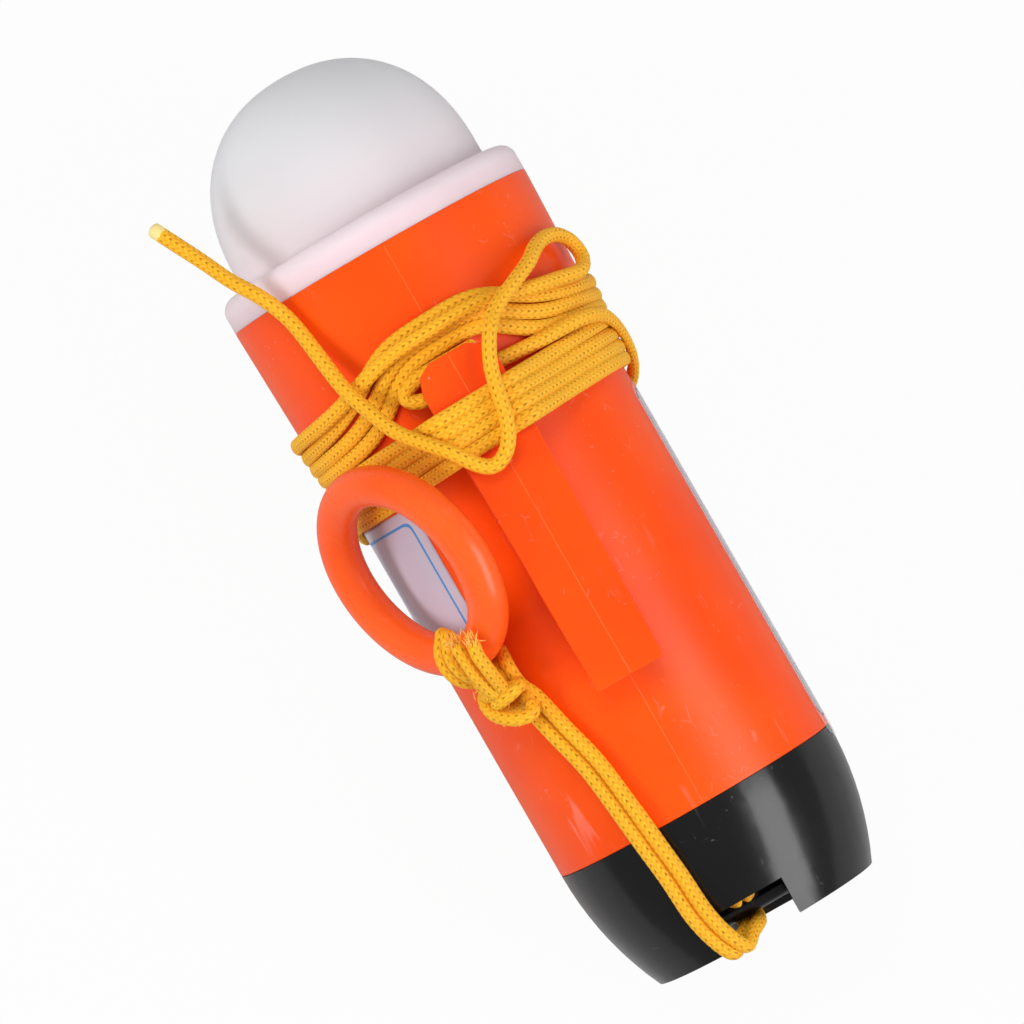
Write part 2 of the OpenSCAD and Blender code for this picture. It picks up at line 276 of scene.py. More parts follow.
# the thin line that the mould's halves leave; its lighter orange is a painted highlight where it catches the
# light
flash_highlight = Mat("parting_flash_highlight", (1.0, 0.17, 0.02), 0.3, Specular_IOR_Level=0.5)
flash_highlight.set("Base Color", flash_highlight.mix(flash_highlight.noise(90, 2), (1.0, 0.09, 0.006), (1.0, 0.16, 0.02)))

rubber = Mat("seal_rubber", (0.015, 0.015, 0.015), 0.65)
rubber.bump(rubber.noise(900, 3), 0.2, 0.0001)
steel = Mat("plain_steel", (0.55, 0.55, 0.57), 0.32, Metallic=1.0)
brushed = steel.noise(400, 3, steel.coords((1, 8, 1)))
steel.set("Roughness", steel.add(steel.mul(brushed, 0.2), 0.22))
grey = Mat("chassis_plastic", (0.68, 0.68, 0.65), 0.5)
dark_plastic = Mat("holder_plastic", (0.02, 0.02, 0.021), 0.5)
for moulded in (grey, dark_plastic):
    moulded.bump(moulded.noise(1200, 2), 0.15, 0.0001)
cell_mat = Mat("cell_sleeve", (0.05, 0.16, 0.10), 0.3)
cell_mat.set("Base Color", cell_mat.mix(cell_mat.noise(40, 2), (0.04, 0.14, 0.09), (0.07, 0.2, 0.13)))
board_mat = Mat("lamp_board", (0.02, 0.16, 0.07), 0.35)
tracks = board_mat.ramp(board_mat.noise(500, 1), 0.5, 0.53)
board_mat.set("Base Color", board_mat.mix(tracks, (0.02, 0.14, 0.06), (0.03, 0.2, 0.09)))
brass = Mat("contact_brass", (0.8, 0.6, 0.25), 0.3, Metallic=1.0)
emitter = Mat("emitter_resin", (0.85, 0.72, 0.2), 0.25)
mirror = Mat("reflector_bright", (0.85, 0.85, 0.87), 0.12, Metallic=1.0)
red = Mat("wire_red", (0.5, 0.02, 0.02), 0.4)
black_wire = Mat("wire_black", (0.015, 0.015, 0.015), 0.4)
for small, dull, bright in (
    (brass, (0.70, 0.48, 0.18), (0.82, 0.62, 0.27)),
    (emitter, (0.78, 0.64, 0.15), (0.88, 0.75, 0.22)),
    (mirror, (0.78, 0.78, 0.80), (0.87, 0.87, 0.89)),
    (red, (0.42, 0.015, 0.015), (0.55, 0.025, 0.02)),
    (black_wire, (0.011, 0.011, 0.012), (0.02, 0.02, 0.02)),
):
    small.set("Base Color", small.mix(small.noise(220, 3), dull, bright))
    small.bump(small.noise(1300, 2), 0.1, 0.0001)

film = Mat("clear_film", (0.95, 0.95, 0.97), 0.08, Alpha=0.16, Specular_IOR_Level=0.7)
film.bump(film.noise(70, 3), 0.25, 0.0005)


def label_material(name, face, line, width, height, inset, line_width):
    """A bare label with one plain line near its border. UV runs over width and height in mm."""
    m = Mat(name, face, 0.42)
    u, v = m.uv()
    from_sides = m.sub(width / 2, m.size(m.sub(u, width / 2)))
    from_ends = m.sub(height / 2, m.size(m.sub(v, height / 2)))
    from_edge = m.math("SMOOTH_MIN", from_sides, from_ends, 3.0)
    on_line = m.math("LESS_THAN", m.size(m.sub(from_edge, inset)), line_width / 2)
    paper = m.mix(m.noise(90, 3), face, darker(face, 0.93))
    m.set("Base Color", m.mix(on_line, paper, line))
    m.bump(m.noise(400, 3), 0.08, 0.0001)
    return m


# ---------------------------------------------------------------- knitted cord
COLUMNS = 6  # columns of stitches round the cord
STITCH = 1.5  # length of a stitch, mm
SLANT = 1.3  # how far a V's legs lean along the cord


def knit(name, yarn, groove_shade, eye_shade):
    """Tubular knitted cord: columns of V stitches, with painted shade in their eyes and in the grooves
    between them. UV is 0 to 1 round the cord and in stitches along it.
    """
    m = Mat(
        name, yarn, 0.62, Sheen_Weight=0.05, Sheen_Roughness=0.4, Specular_IOR_Level=0.3,
        Subsurface_Weight=0.2, Subsurface_Radius=(0.0014, 0.0007, 0.0002), Subsurface_Scale=1.0,
    )
    m.shader.inputs["Sheen Tint"].default_value = (1, 0.7, 0.2, 1)
    u, v = m.uv()
    # off is 0 at the middle of a column and 0.5 at its edge
    # away is 0 at the middle of a stitch and 1 at its ends
    off = m.size(m.sub(m.math("FRACT", m.mul(u, float(COLUMNS))), 0.5))
    phase = m.math("FRACT", m.add(v, m.mul(off, SLANT)))
    away = m.mul(m.size(m.sub(phase, 0.5)), 2.0)
    eye = m.mul(m.ramp(off, 0.05, 0.19, 1.0, 0.0), m.ramp(away, 0.4, 0.85))
    eye = m.mul(eye, m.ramp(m.noise(450, 1), 0.35, 0.65, 0.45, 1.0))
    seam = m.mul(m.ramp(off, 0.37, 0.5), m.ramp(away, 0.1, 0.8, 0.3, 0.8))
    groove = m.most(seam, m.ramp(away, 0.62, 1.0, 0.0, 0.75))
    fibre = m.noise(5200, 2)
    tone = m.mix(m.noise(160, 2), yarn, darker(yarn, 0.92))
    lit = m.mix(m.mul(fibre, 0.3), tone, (1.0, 0.65, 0.09))
    # painted shade: darker in the grooves and darkest in the open eyes of the stitches
    groove_shaded = m.mix(m.mul(groove, 0.8), lit, groove_shade)
    m.set("Base Color", m.mix(m.mul(eye, 0.85), groove_shaded, eye_shade))
    m.bump(m.sub(m.mul(fibre, 0.2), m.most(eye, groove)), 0.55, 0.0003)
    return m


# the last two colours are painted shade, for the grooves and for the stitches' eyes
cord_mat = knit("knitted_cord", (1.0, 0.475, 0.016), (0.93, 0.34, 0.006), (0.40, 0.145, 0.003))
fray_mat = Mat("frayed_yarn", (1.0, 0.5, 0.05), 0.75, Sheen_Weight=0.4)
fray_mat.bump(fray_mat.noise(4000, 2), 0.4, 0.0002)
melt = Mat("melted_end", (0.93, 0.72, 0.28), 0.3)
melt.bump(melt.noise(900, 3), 0.3, 0.0003)

CAD_LOOKS = {
    orange: ("body_tube", "hanging_tongue"),
    black: ("end_cap",),
    lens: ("lens_dome",),
    ring_mat: ("pull_ring",),
    rubber: ("lens_seal", "cap_seal"),
    steel: (
        "ballast_disc", "contact_springs", "contact_plates", "tilt_switch_tube", "tilt_ball", "board_screws",
    ),
    grey: ("chassis",),
    dark_plastic: ("cell_holder",),
    cell_mat: ("cell_1", "cell_2", "cell_3", "cell_4"),
    board_mat: ("led_board",),
    emitter: ("led_emitters",),
    mirror: ("reflector",),
    brass: ("tilt_contacts",),
    red: ("wire_red",),
    black_wire: ("wire_black",),
}
for look, names in CAD_LOOKS.items():
    for name in names:
        nodes[name].data.materials.clear()
        nodes[name].data.materials.append(look.material)


# ---------------------------------------------------------------- mesh helpers
def mesh_object(name, points, faces, mat, uvs=None):
    """A smooth mesh from points in mm in the tube's frame. uvs has a pair for each corner of each face."""
    mesh = bpy.data.meshes.new(name)
    mesh.from_pydata([tuple(v) for v in lay(points)], [], faces)
    if uvs is not None:
        layer = mesh.uv_layers.new(name="UVMap")
        layer.data.foreach_set("uv", np.asarray(uvs, np.float32).ravel())
    mesh.materials.append(mat.material)
    mesh.update()
    mesh.polygons.foreach_set("use_smooth", np.ones(len(mesh.polygons), bool))
    o = bpy.data.objects.new(name, mesh)
    bpy.context.scene.collection.objects.link(o)
    return o


def grid_faces(rows, columns, wrap_rows=False, wrap_columns=False):
    """Quads of a grid of points that are listed row by row."""
    faces = []
    for i in range(rows if wrap_rows else rows - 1):
        for j in range(columns if wrap_columns else columns - 1):
            above, right = (i + 1) % rows, (j + 1) % columns
            faces.append((
                i * columns + j, i * columns + right, above * columns + right, above * columns + j,
            ))
    return faces


def around(a, r, z):
    """Points at radius r and height z, at angle a in degrees: 0 is at the tongue and 90 to its right."""
    a = np.radians(a)
    return np.stack([r * np.sin(a), -r * np.cos(a), z + 0 * a], -1)


def belongs(o, body, slot, *stands_for):
    """Says which body a piece rides and which CAD nodes it stands for, and hides those nodes. The slot is not
    used.
    """
    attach(o, body)
    if stands_for:
        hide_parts(*stands_for)


# ---------------------------------------------------------------- cords
STEP = 0.4  # between points of a cord's path, mm
SIDES = 4 * COLUMNS
END_ROUNDING = 0.35  # length of a rounded end, in diameters
FLOOR_GAP = 0.00005  # least height of a cord's surface, in metres
WIDENING = 0.12  # how much a pressed cord widens
THINNING = 1.1  # how much it thins


def lengths_along(p):
    return np.r_[0, np.cumsum(np.linalg.norm(np.diff(p, axis=0), axis=1))]


def resample(p, step):
    """Points on a smooth curve through p, about step apart."""
    p = np.asarray(p, float)
    q = np.vstack([2 * p[0] - p[1], p, 2 * p[-1] - p[-2]])
    pieces = []
    for a, b, c, d in zip(q, q[1:], q[2:], q[3:]):
        n = max(2, int(np.linalg.norm(c - b) / (step * 0.25)))
        t = np.linspace(0, 1, n, endpoint=False)[:, None]
        squared = (2 * a - 5 * b + 4 * c - d) * t**2
        cubed = (3 * b - a - 3 * c + d) * t**3
        pieces.append(0.5 * (2 * b + (c - a) * t + squared + cubed))
    fine = np.vstack([*pieces, q[-2]])
    s = lengths_along(fine)
    u = np.linspace(0, s[-1], max(3, int(s[-1] / step)) + 1)
    return np.stack([np.interp(u, s, fine[:, k]) for k in range(3)], 1)


def smooth_path(p, times):
    for _ in range(times):
        p = np.vstack([p[0], (p[:-2] + 2 * p[1:-1] + p[2:]) / 4, p[-1]])
    return p


def normals_along(p):
    """Two normals at each point of p, carried along with no twist."""
    tangent = np.gradient(p, axis=0)
    tangent /= np.linalg.norm(tangent, axis=1)[:, None]
    normal = np.zeros_like(p)
    v = np.cross(tangent[0], [0.31, 0.52, 0.79])
    for i, t in enumerate(tangent):
        v = v - (v @ t) * t
        v /= np.linalg.norm(v)
        normal[i] = v
    return normal, np.cross(tangent, normal)


def stitch_relief(s, turned):
    """Share of the cord's radius at each length in s and each share of a turn in turned."""
    off = np.abs((turned * COLUMNS) % 1 - 0.5)[None]
    away = np.abs(2 * ((s[:, None] / STITCH + SLANT * off) % 1) - 1)
    eye = np.clip(1 - off / 0.2, 0, 1) * np.clip(away * 1.6, 0, 1)
    seam = np.clip((off - 0.3) / 0.2, 0, 1) * (0.3 + 0.7 * away)
    uneven = 1 + 0.015 * np.sin(s / 7.3) + 0.012 * np.sin(s / 3.1 + 1)
    return (1.02 - 0.12 * np.maximum(eye, seam) - 0.035 * away**3) * uneven[:, None]


def press(p, off, squash):
    """Surface offsets of a cord along p, pressed to the tube. squash is 0 where the cord stays round."""
    radial = p * [1, 1, 0]
    radial /= np.linalg.norm(radial, axis=1)[:, None]
    depth = np.einsum("ijk,ik->ij", off, radial)
    wider = off * (1 + WIDENING * squash)[:, None, None]
    return wider - (squash[:, None] * depth * THINNING)[..., None] * radial[:, None]


def cord_mesh(name, path, mat, d=CORD, sides=SIDES, knitted=True, squash=None):
    """A cord along path, in mm. A knitted one is raised in stitches. Its ends are closed and rounded."""
    p = np.asarray(path, float)
    s = lengths_along(p)
    turned = np.arange(sides) / sides
    radius = np.full((len(p), sides), d / 2)
    if knitted:
        radius *= stitch_relief(s, turned)
    short_of_end = np.clip(1 - np.minimum(s, s[-1] - s) / (d * END_ROUNDING), 0, 1)
    radius *= np.sqrt(np.clip(1 - short_of_end**2, 0.02, 1))[:, None]
    one, other = normals_along(p)
    a = 2 * math.pi * turned[None, :, None]
    off = radius[..., None] * (np.cos(a) * one[:, None] + np.sin(a) * other[:, None])
    if squash is not None:
        off = press(p, off, squash)
    count = len(p) * sides
    faces = grid_faces(len(p), sides, wrap_columns=True)
    faces += [tuple(range(sides))[::-1], tuple(range(count - sides, count))]
    i, j = np.divmod(np.arange(count - sides), sides)
    u0, u1 = j / sides, (j + 1) / sides
    v0, v1 = s[i] / STITCH, s[i + 1] / STITCH
    uv = np.stack([u0, v0, u1, v0, u1, v1, u0, v1], 1).reshape(-1, 2)
    uv = np.vstack([uv, np.zeros((2 * sides, 2))])
    o = mesh_object(name, (p[:, None] + off).reshape(-1, 3), faces, mat, uv)
    for vertex in o.data.vertices:
        vertex.co.z = max(vertex.co.z, FLOOR_GAP)
    return o


# ---------------------------------------------------------------- the lanyard: start loop, eight turns, tail
TURNS = 8
PITCH = 2.75
FIRST_TURN_Z = 108.4
CLEARANCE = 0.05  # between the tube and the cord on it
# the last four turns bend up past the tongue's end: their heights in front, and how wide they bend
FRONT_Z = {4: 130.6, 5: 133.1, 6: 135.9, 7: 134.2}
FRONT_W = {4: 26.0, 5: 28.5, 6: 32.5, 7: 33.0}
LAST_TURN_LIFT = 1.9  # the last turn crosses the others in front
LAST_TURN_END = 52
# the cord is pressed where it is wound: lengths in mm from the start, and from the end
SQUASH = 0.36
ROUND_START, ROUND_END = 60, 190
FADE_IN, FADE_OUT = 18, 25


def bell(a, w):
    return 1 / (1 + (np.abs(a) / w) ** 4)


def rise(a):
    t = np.clip((a + 90) / 180, 0, 1)
    return t * t * (3 - 2 * t)


def tight(a, centre_r):
    """Radius of a cord's centre that is pulled tight over the tube and the tongue's two edges."""
    top = TONGUE_FACE + WOUND / 2 + CLEARANCE
    edge = math.degrees(math.atan(TONGUE_HALF_W / top))
    edge_r = top / math.cos(math.radians(edge))
    touching = edge + np.degrees(np.arccos(centre_r / edge_r))
    a = np.abs(a)
    over_face = top / np.cos(np.radians(a))
    free = centre_r / np.cos(np.radians(np.clip(touching - a, 0, 80)))
    return np.where(a <= edge, over_face, np.where(a < touching, free, centre_r))


def turn(k, a):
    """Centre points of turn k at angles a, from -90 (left) through 0 (front) and 90 (right) to 270 (left)."""
    # the sines make the turns a little uneven
    front = np.where(a > 180, a - 360, a)
    z = FIRST_TURN_Z + PITCH * k + PITCH * rise(a)
    if k in FRONT_Z:
        z = z + (FRONT_Z[k] - FIRST_TURN_Z - PITCH * (k + 0.5)) * bell(front, FRONT_W[k])
    centre_r = tube_radius(z) + WOUND / 2 + CLEARANCE
    if k in FRONT_Z:
        r = centre_r + 0.1 * np.abs(np.sin(np.radians(2 * a + 50 * k)))
    else:
        r = np.maximum(tight(front, centre_r) + 0.12 * np.sin(np.radians(3 * a + 70 * k)), centre_r)
    if k == TURNS - 1:
        r = r + LAST_TURN_LIFT * bell(front, 72)
    z = z + 0.22 * np.sin(np.radians(2 * a + 83 * k)) * (1 - bell(front, 30) * 0.3)
    return around(front, r, z)


# the route, in the order of the cord: x, y, z in mm, or angle, radius and height
GAP_Y = -(COLLAR_R + TONGUE_FACE - 3.0) / 2  # between the tube and the tongue
UNDER_TONGUE = [
    [6.2, GAP_Y, 127.3], [0, GAP_Y, 127.3], [-6, GAP_Y, 127.2], [-9.5, GAP_Y + 0.4, 126.6],
    [-11.4, GAP_Y + 0.9, 124.9], [-9.5, GAP_Y + 0.4, 123.2], [-6, GAP_Y, 122.6], [0, GAP_Y, 122.5],
    [6, GAP_Y, 122.5],
]
DOWN_RIGHT = [
    (17, 34.0, 122.3), (30, 33.8, 121.9), (41, 34.2, 121.9), (52, 34.7, 121.7), (63, 34.6, 120.6),
    (73, 34.2, 118.4), (83, 33.8, 115.2), (93, 33.6, 111.6), (103, 33.2, 108.2), (113, 32.4, 105.8),
    (124, 31.9, 105.0),
]
behind = around(np.arange(144, 262, 8), 31.95, np.linspace(105.0, 105.9, 15))
TAIL = [
    (59, 36.1, 130.0), (65, 36.0, 130.7), (69.5, 35.8, 132.4), (70.5, 35.5, 134.8), (67, 35.3, 137.2),
    (60, 35.2, 138.8), (52, 35.3, 139.0), (45, 35.9, 138.0), (38, 37.2, 136.2), (28, 38.5, 134.0),
    (18, 39.9, 131.3), (12, 42.2, 127.5), (8, 42.6, 122), (6, 43.4, 116.5), (4.5, 43.5, 111.5),
    (2, 43.2, 107.6), (-1.5, 42.6, 105.4), (-5, 42.4, 105.2), (-8.5, 43.0, 107.6), (-12, 43.7, 111.6),
    (-18, 41.6, 116), (-24, 39.8, 120.5), (-29, 38.3, 126.5), (-33, 37.4, 132), (-36, 36.2, 138.5),
    (-38.5, 35.2, 144), (-41, 35.0, 150), (-44, 36.6, 156),
]
BESIDE_DOME = [[-29, -24.5, 162], [-31.8, -22.2, 168], [-34.6, -20.5, 173.6], [-37.0, -19.6, 178.4]]
route = [UNDER_TONGUE, [around(*q) for q in DOWN_RIGHT], behind]
for k in range(TURNS):
    route.append(turn(k, np.arange(-90, LAST_TURN_END if k == TURNS - 1 else 270, 6.0)))
route += [[around(*q) for q in TAIL], BESIDE_DOME]
lanyard_path = smooth_path(resample(np.vstack(route), STEP), 10)

length_at = lengths_along(lanyard_path)
fades_in = np.clip((length_at - ROUND_START) / FADE_IN, 0, 1)
fades_out = np.clip((length_at[-1] - ROUND_END - length_at) / FADE_OUT, 0, 1)
lanyard = cord_mesh("lanyard", lanyard_path, cord_mat, squash=SQUASH * fades_in * fades_out)
belongs(lanyard, "light", "cord", "lanyard_coil_lower", "lanyard_coil_upper", "lanyard_tail", "lanyard_start")

end = lanyard_path[-8:]
past_end = end + np.linspace(0, 1, len(end))[:, None] * (end[-1] - end[0]) * 0.25
tip = cord_mesh("lanyard_melted_tip", resample(past_end, 0.3), melt, d=3.15, sides=16, knitted=False)
belongs(tip, "light", "cord")

# ---------------------------------------------------------------- the tether: a doubled cord and its knot
LEG_OFFSET = CORD / 2 - 0.08  # the two legs touch
MID_X = -2.5  # where the legs go round the bar
# from the knot down the tube and the cap: x of the middle between the legs, radius, height
DOWN_TUBE = [
    [-21.2, 34.6, RIM_Z - 85.6], [-20.6, 33.6, RIM_Z - 88.2], [-19.1, 32.4, RIM_Z - 91.2],
    [-17.2, 32.3, RIM_Z - 99.3], [-15, 32.2, RIM_Z - 108.4], [-13.6, 32.2, CAP_Z + 5],
    [-12.8, 32.1, CAP_Z - 3], [-12.1, 31.4, CAP_Z - 9.5], [-11.5, 30.2, CAP_Z - 18.1], [-10.1, 28.9, 4],
]
# into the cap's recess and under the bar: x, y, z
INTO_CAP = [
    [-7.9, BAR_Y - 9.4, -0.3], [-5.5, BAR_Y - 6, 1.2], [-3.6, BAR_Y - 3, 2], [-2.8, BAR_Y, 2.3],
    [-2.6, BAR_Y + 2.8, 3.5], [MID_X, BAR_Y + 3.7, 6], [MID_X, BAR_Y + 2.8, 8.5],
]
# over the bar to where the legs meet: distance from the middle, y, z
OVER_BAR = [
    [2.3, BAR_Y, 9.7], [2.2, BAR_Y - 2.3, 8.9], [0.9, BAR_Y - 3.5, 7.9], [0, BAR_Y - 3.7, 7.7],
]


def tether_leg(s):
    """The left leg's path with s = -1, the right one's with s = 1."""
    shift = s * LEG_OFFSET
    path = [[x + shift, -math.sqrt(r * r - (x + shift) ** 2), z] for x, r, z in DOWN_TUBE]
    path += [[x + shift, y, z] for x, y, z in INTO_CAP]
    path += [[MID_X + s * from_middle, y, z] for from_middle, y, z in OVER_BAR]
    return smooth_path(resample(path[::-1], STEP), 6)


# the ring's place and directions: away from the tube, along the ring, and across it
YAW, TILT = math.radians(-146.7), math.radians(97)
ALONG = np.array([-math.cos(YAW) * math.cos(TILT), -math.sin(YAW) * math.cos(TILT), math.sin(TILT)])
ACROSS = np.array([-math.sin(YAW), math.cos(YAW), 0])
AWAY = np.array([math.cos(YAW) * math.sin(TILT), math.sin(YAW) * math.sin(TILT), math.cos(TILT)])
RING_LOWEST = np.array([-26.6, -28.0, RIM_Z - 58]) - ALONG * 19.3
ROUND_RING_R = 5.75
KNOT = np.array([-21.4, -27.9, RIM_Z - 86.8])
KNOT_CORD = 2.75  # the cord is pulled thinner in the knot
KNOT_ON_TUBE = BODY_R + 1.8  # least radius of a strand's centre
HAIR = 0.26  # thickness of a fibre


def around_ring(shift, last):
    """Points round the ring's lowest point, in the plane across it, up to angle last."""
    a = np.radians(np.linspace(-150, last, 20))[:, None]
    return RING_LOWEST + ACROSS * shift + ROUND_RING_R * (np.cos(a) * AWAY + np.sin(a) * ALONG)


def knot_at(r, u, h):
    """A point of the knot: r out from the tube, u along it, h across it."""
    return KNOT + AWAY * r + ALONG * u + ACROSS * h


def knot_line(*points):
    return np.array([knot_at(*q) for q in points])


def wrap(first, last, r, wide, u, climb, wave=0.0):
    """One turn of the overhand knot, about the direction along the tube."""
    return np.array([
        knot_at(r[0] + r[1] * math.cos(t), u + climb * t + wave * math.sin(t + 0.6), wide * math.sin(t))
        for t in np.linspace(first, last, 26)
    ])


# the loop round the ring, doubled
knot_strands = [
    np.vstack([
        knot_line((-1.5, -1, 0.5), (-1.0, 3.2, -0.6)),
        around_ring(-1.5, 75),
        knot_line((3.6, 3.0, -2.2), (2.6, -1.5, -2.0)),
    ]),
    np.vstack([
        knot_line((-1.2, -1, 1.6), (-1.2, 3.2, 2.0)),
        around_ring(1.6, 60),
        knot_line((3.5, 3.2, 2.2), (2.6, -1.0, 2.2)),
    ]),
]
# two wraps of the overhand knot
knot_strands += [
    wrap(-0.4, 2 * math.pi + 0.9, (1.6, 2.7), 4.3, -1.2, 0.35),
    wrap(2.4, 2 * math.pi + 3.2, (1.4, 2.6), 3.9, -4.6, 0.42, 1.2),
]
# the bight that comes out of the wraps and turns back under them
knot_strands.append(knot_line(
    (1.0, 2.6, -3.6), (3.2, 0.6, -4.8), (4.9, -2.2, -3.0), (5.0, -4.6, 0.2), (3.6, -6.2, 2.8),
    (1.2, -6.4, 3.6), (-0.6, -4.6, 2.4),
))
# the two cut ends that stand up in front of the ring
knot_strands += [
    knot_line((3.0, -1.5, 0.8), (5.2, 2.2, 1.6), (6.9, 6.0, 3.0), (7.6, 10.6, 4.3), (7.5, 13.8, 4.4)),
    knot_line((2.6, -0.5, 1.8), (4.6, 2.8, 4.4), (6.2, 6.2, 6.6), (6.9, 9.6, 7.6), (6.6, 12.2, 8.6)),
]
knot_parts = []
for i, strand in enumerate(knot_strands):
    strand = smooth_path(resample(strand, STEP), 5)
    r = np.linalg.norm(strand[:, :2], axis=1)
    inside = np.where((strand[:, 2] < COLLAR_LOW) & (r < KNOT_ON_TUBE))[0]
    strand[inside, :2] *= (KNOT_ON_TUBE / r[inside])[:, None]
    knot_parts.append(cord_mesh(f"knot_strand_{i}", strand, cord_mat, d=KNOT_CORD))
    knot_strands[i] = strand


# ---------------------------------------------------------------- frayed fibres on the knot
def hair_line(root, reach, bend):
    return np.array([root + reach * u + bend * u * u for u in np.linspace(0, 1, 5)])


rng = np.random.default_rng(7)
hairs = []
for strand, count in ((knot_strands[-2], 34), (knot_strands[-1], 30)):
    along = strand[-1] - strand[-6]
    along = along / np.linalg.norm(along)
    for _ in range(count):
        d = along + rng.normal(0, 0.42, 3)
        d /= np.linalg.norm(d)
        root = strand[-1] - along * rng.uniform(0.2, 1.2) + rng.normal(0, 0.6, 3)
        bend = rng.normal(0, 0.5, 3)
        hairs.append(hair_line(root, d * rng.uniform(1.2, 3.0), bend))
# a few stray ones
for _ in range(26):
    root = knot_at(rng.uniform(2, 5), rng.uniform(-7, 4), rng.uniform(-4, 4))
    d = AWAY * rng.uniform(0.2, 1) + ALONG * rng.normal(0, 0.7) + ACROSS * rng.normal(0, 0.7)
    hairs.append(hair_line(root, d * 1.6, rng.normal(0, 0.5, 3)))
for i, hair in enumerate(hairs):
    knot_parts.append(cord_mesh(f"hair_{i}", hair, fray_mat, d=HAIR, sides=5, knitted=False))

bpy.ops.object.select_all(action="DESELECT")
for part in knot_parts:
    part.select_set(True)
knot = knot_parts[0]
bpy.context.view_layer.objects.active = knot
bpy.ops.object.join()
knot.name = "tether_knot_tied"
belongs(knot, "tether", "cord", "tether_knot")

for letter, s, stands_for in (("a", -1, ("tether_cord",)), ("b", 1, ())):
    path = tether_leg(s)
    leg = cord_mesh(f"tether_leg_{letter}", path, cord_mat)
    belongs(leg, "tether", "cord", *stands_for)


# ---------------------------------------------------------------- turned pieces: the tube
def lathe(name, profile, mat, segments, sharp):
    """A closed profile of (r, z) in mm turned about the tube's axis. Edges over sharp degrees stay sharp."""
    a = np.linspace(0, 360, segments, endpoint=False)
    points = np.vstack([around(a, r, z) for r, z in profile])
    o = mesh_object(name, points, grid_faces(len(profile), segments, True, True), mat)
    bm = bmesh.new()
    bm.from_mesh(o.data)
    bmesh.ops.remove_doubles(bm, verts=bm.verts, dist=1e-6)
    bmesh.ops.recalc_face_normals(bm, faces=bm.faces)
    bm.to_mesh(o.data)
    bm.free()
    o.modifiers.new("edges", "EDGE_SPLIT").split_angle = math.radians(sharp)
    return o


shell_profile = [
    (BODY_R - WALL, CAP_Z + 0.05), (BODY_R - 0.35, CAP_Z + 0.05), (BODY_R - 0.08, CAP_Z + 0.16),
    (BODY_R, CAP_Z + 0.45), (BODY_R, COLLAR_LOW), (BODY_R + 0.35, COLLAR_LOW + 4), (COLLAR_R, COLLAR_HIGH),
    (RIM_R - 0.02, RIM_Z - 1.2), (RIM_R, RIM_Z - 0.18), (RIM_R - 0.12, RIM_Z - 0.02),
    (RIM_R - WALL, RIM_Z - 0.02), (COLLAR_R - WALL, COLLAR_HIGH), (BODY_R - WALL, COLLAR_LOW),
]
shell = lathe("tube_shell", shell_profile, orange, 320, 35)
belongs(shell, "light", "orange_shell", "body_tube")

# ---------------------------------------------------------------- parting lines
# across a line: share of half its width, height over the surface
LINE_WIDTH = 0.34
LINE_SECTION = ((-1, -0.05), (-0.45, 0.05), (0.45, 0.05), (1, -0.05))


def parting_line(name, angle, low, high, radius):
    """A thin raised line along the tube."""
    heights = np.linspace(low, high, 60)
    rows = []
    for z in heights:
        half = math.degrees(LINE_WIDTH / 2 / radius(z))
        rows += [around(angle + share * half, radius(z) + h, z) for share, h in LINE_SECTION]
    faces = grid_faces(len(heights), len(LINE_SECTION))
    belongs(mesh_object(name, np.array(rows), faces, flash_highlight), "light", "orange_shell")


parting_line("parting_line_0", 0, CAP_Z + 0.3, TONGUE_LOW, tube_radius)
parting_line("parting_line_1", 0, TONGUE_HIGH - 15, RIM_Z - 0.5, tube_radius)
parting_line("parting_line_2", 180, CAP_Z + 0.3, RIM_Z - 0.5, tube_radius)
parting_line("parting_line_tongue", 0, TONGUE_LOW + 0.4, TONGUE_HIGH - 0.6, lambda z: TONGUE_FACE)

# ---------------------------------------------------------------- turned pieces: the lens
DOME_R = RIM_R - 5.6
DOME_LOW = RIM_Z + 9.9
DOME_H = 29.7
DOME_WALL = 2.4
DOME_POWER = 0.909  # slightly fuller than an ellipse
FLANGE_ROUND = 3  # radius of the flange's edge
PLUG_R = RIM_R - WALL - 0.7  # the lens goes into the tube


def dome(r, h):
    """The dome's arc, without its lowest point."""
    angles = np.linspace(0.0, math.pi / 2, 49)[1:]
    return [(r * math.cos(x) ** DOME_POWER, DOME_LOW + h * math.sin(x) ** DOME_POWER) for x in angles]


lens_profile = [
    (PLUG_R, RIM_Z - 7.4), (PLUG_R, RIM_Z + 0.02), (RIM_R - 0.1, RIM_Z + 0.02), (RIM_R, RIM_Z + 0.14),
]
for x in np.linspace(0, math.pi / 2, 13):
    lens_profile.append((
        RIM_R - FLANGE_ROUND + FLANGE_ROUND * math.cos(x), RIM_Z + 3.6 + FLANGE_ROUND * math.sin(x),
    ))
lens_profile += [
    (DOME_R + 0.8, RIM_Z + 6.6), (DOME_R + 0.2, RIM_Z + 6.85), (DOME_R, RIM_Z + 7.5), (DOME_R, DOME_LOW),
]
lens_profile += dome(DOME_R, DOME_H)
lens_profile += dome(DOME_R - DOME_WALL, DOME_H - DOME_WALL)[::-1]
lens_profile += [(DOME_R - DOME_WALL, DOME_LOW), (DOME_R - DOME_WALL, RIM_Z - 7.4)]
lens_piece = lathe("lens_moulding", lens_profile, lens, 256, 50)
belongs(lens_piece, "light", "frosted_lens", "lens_dome")


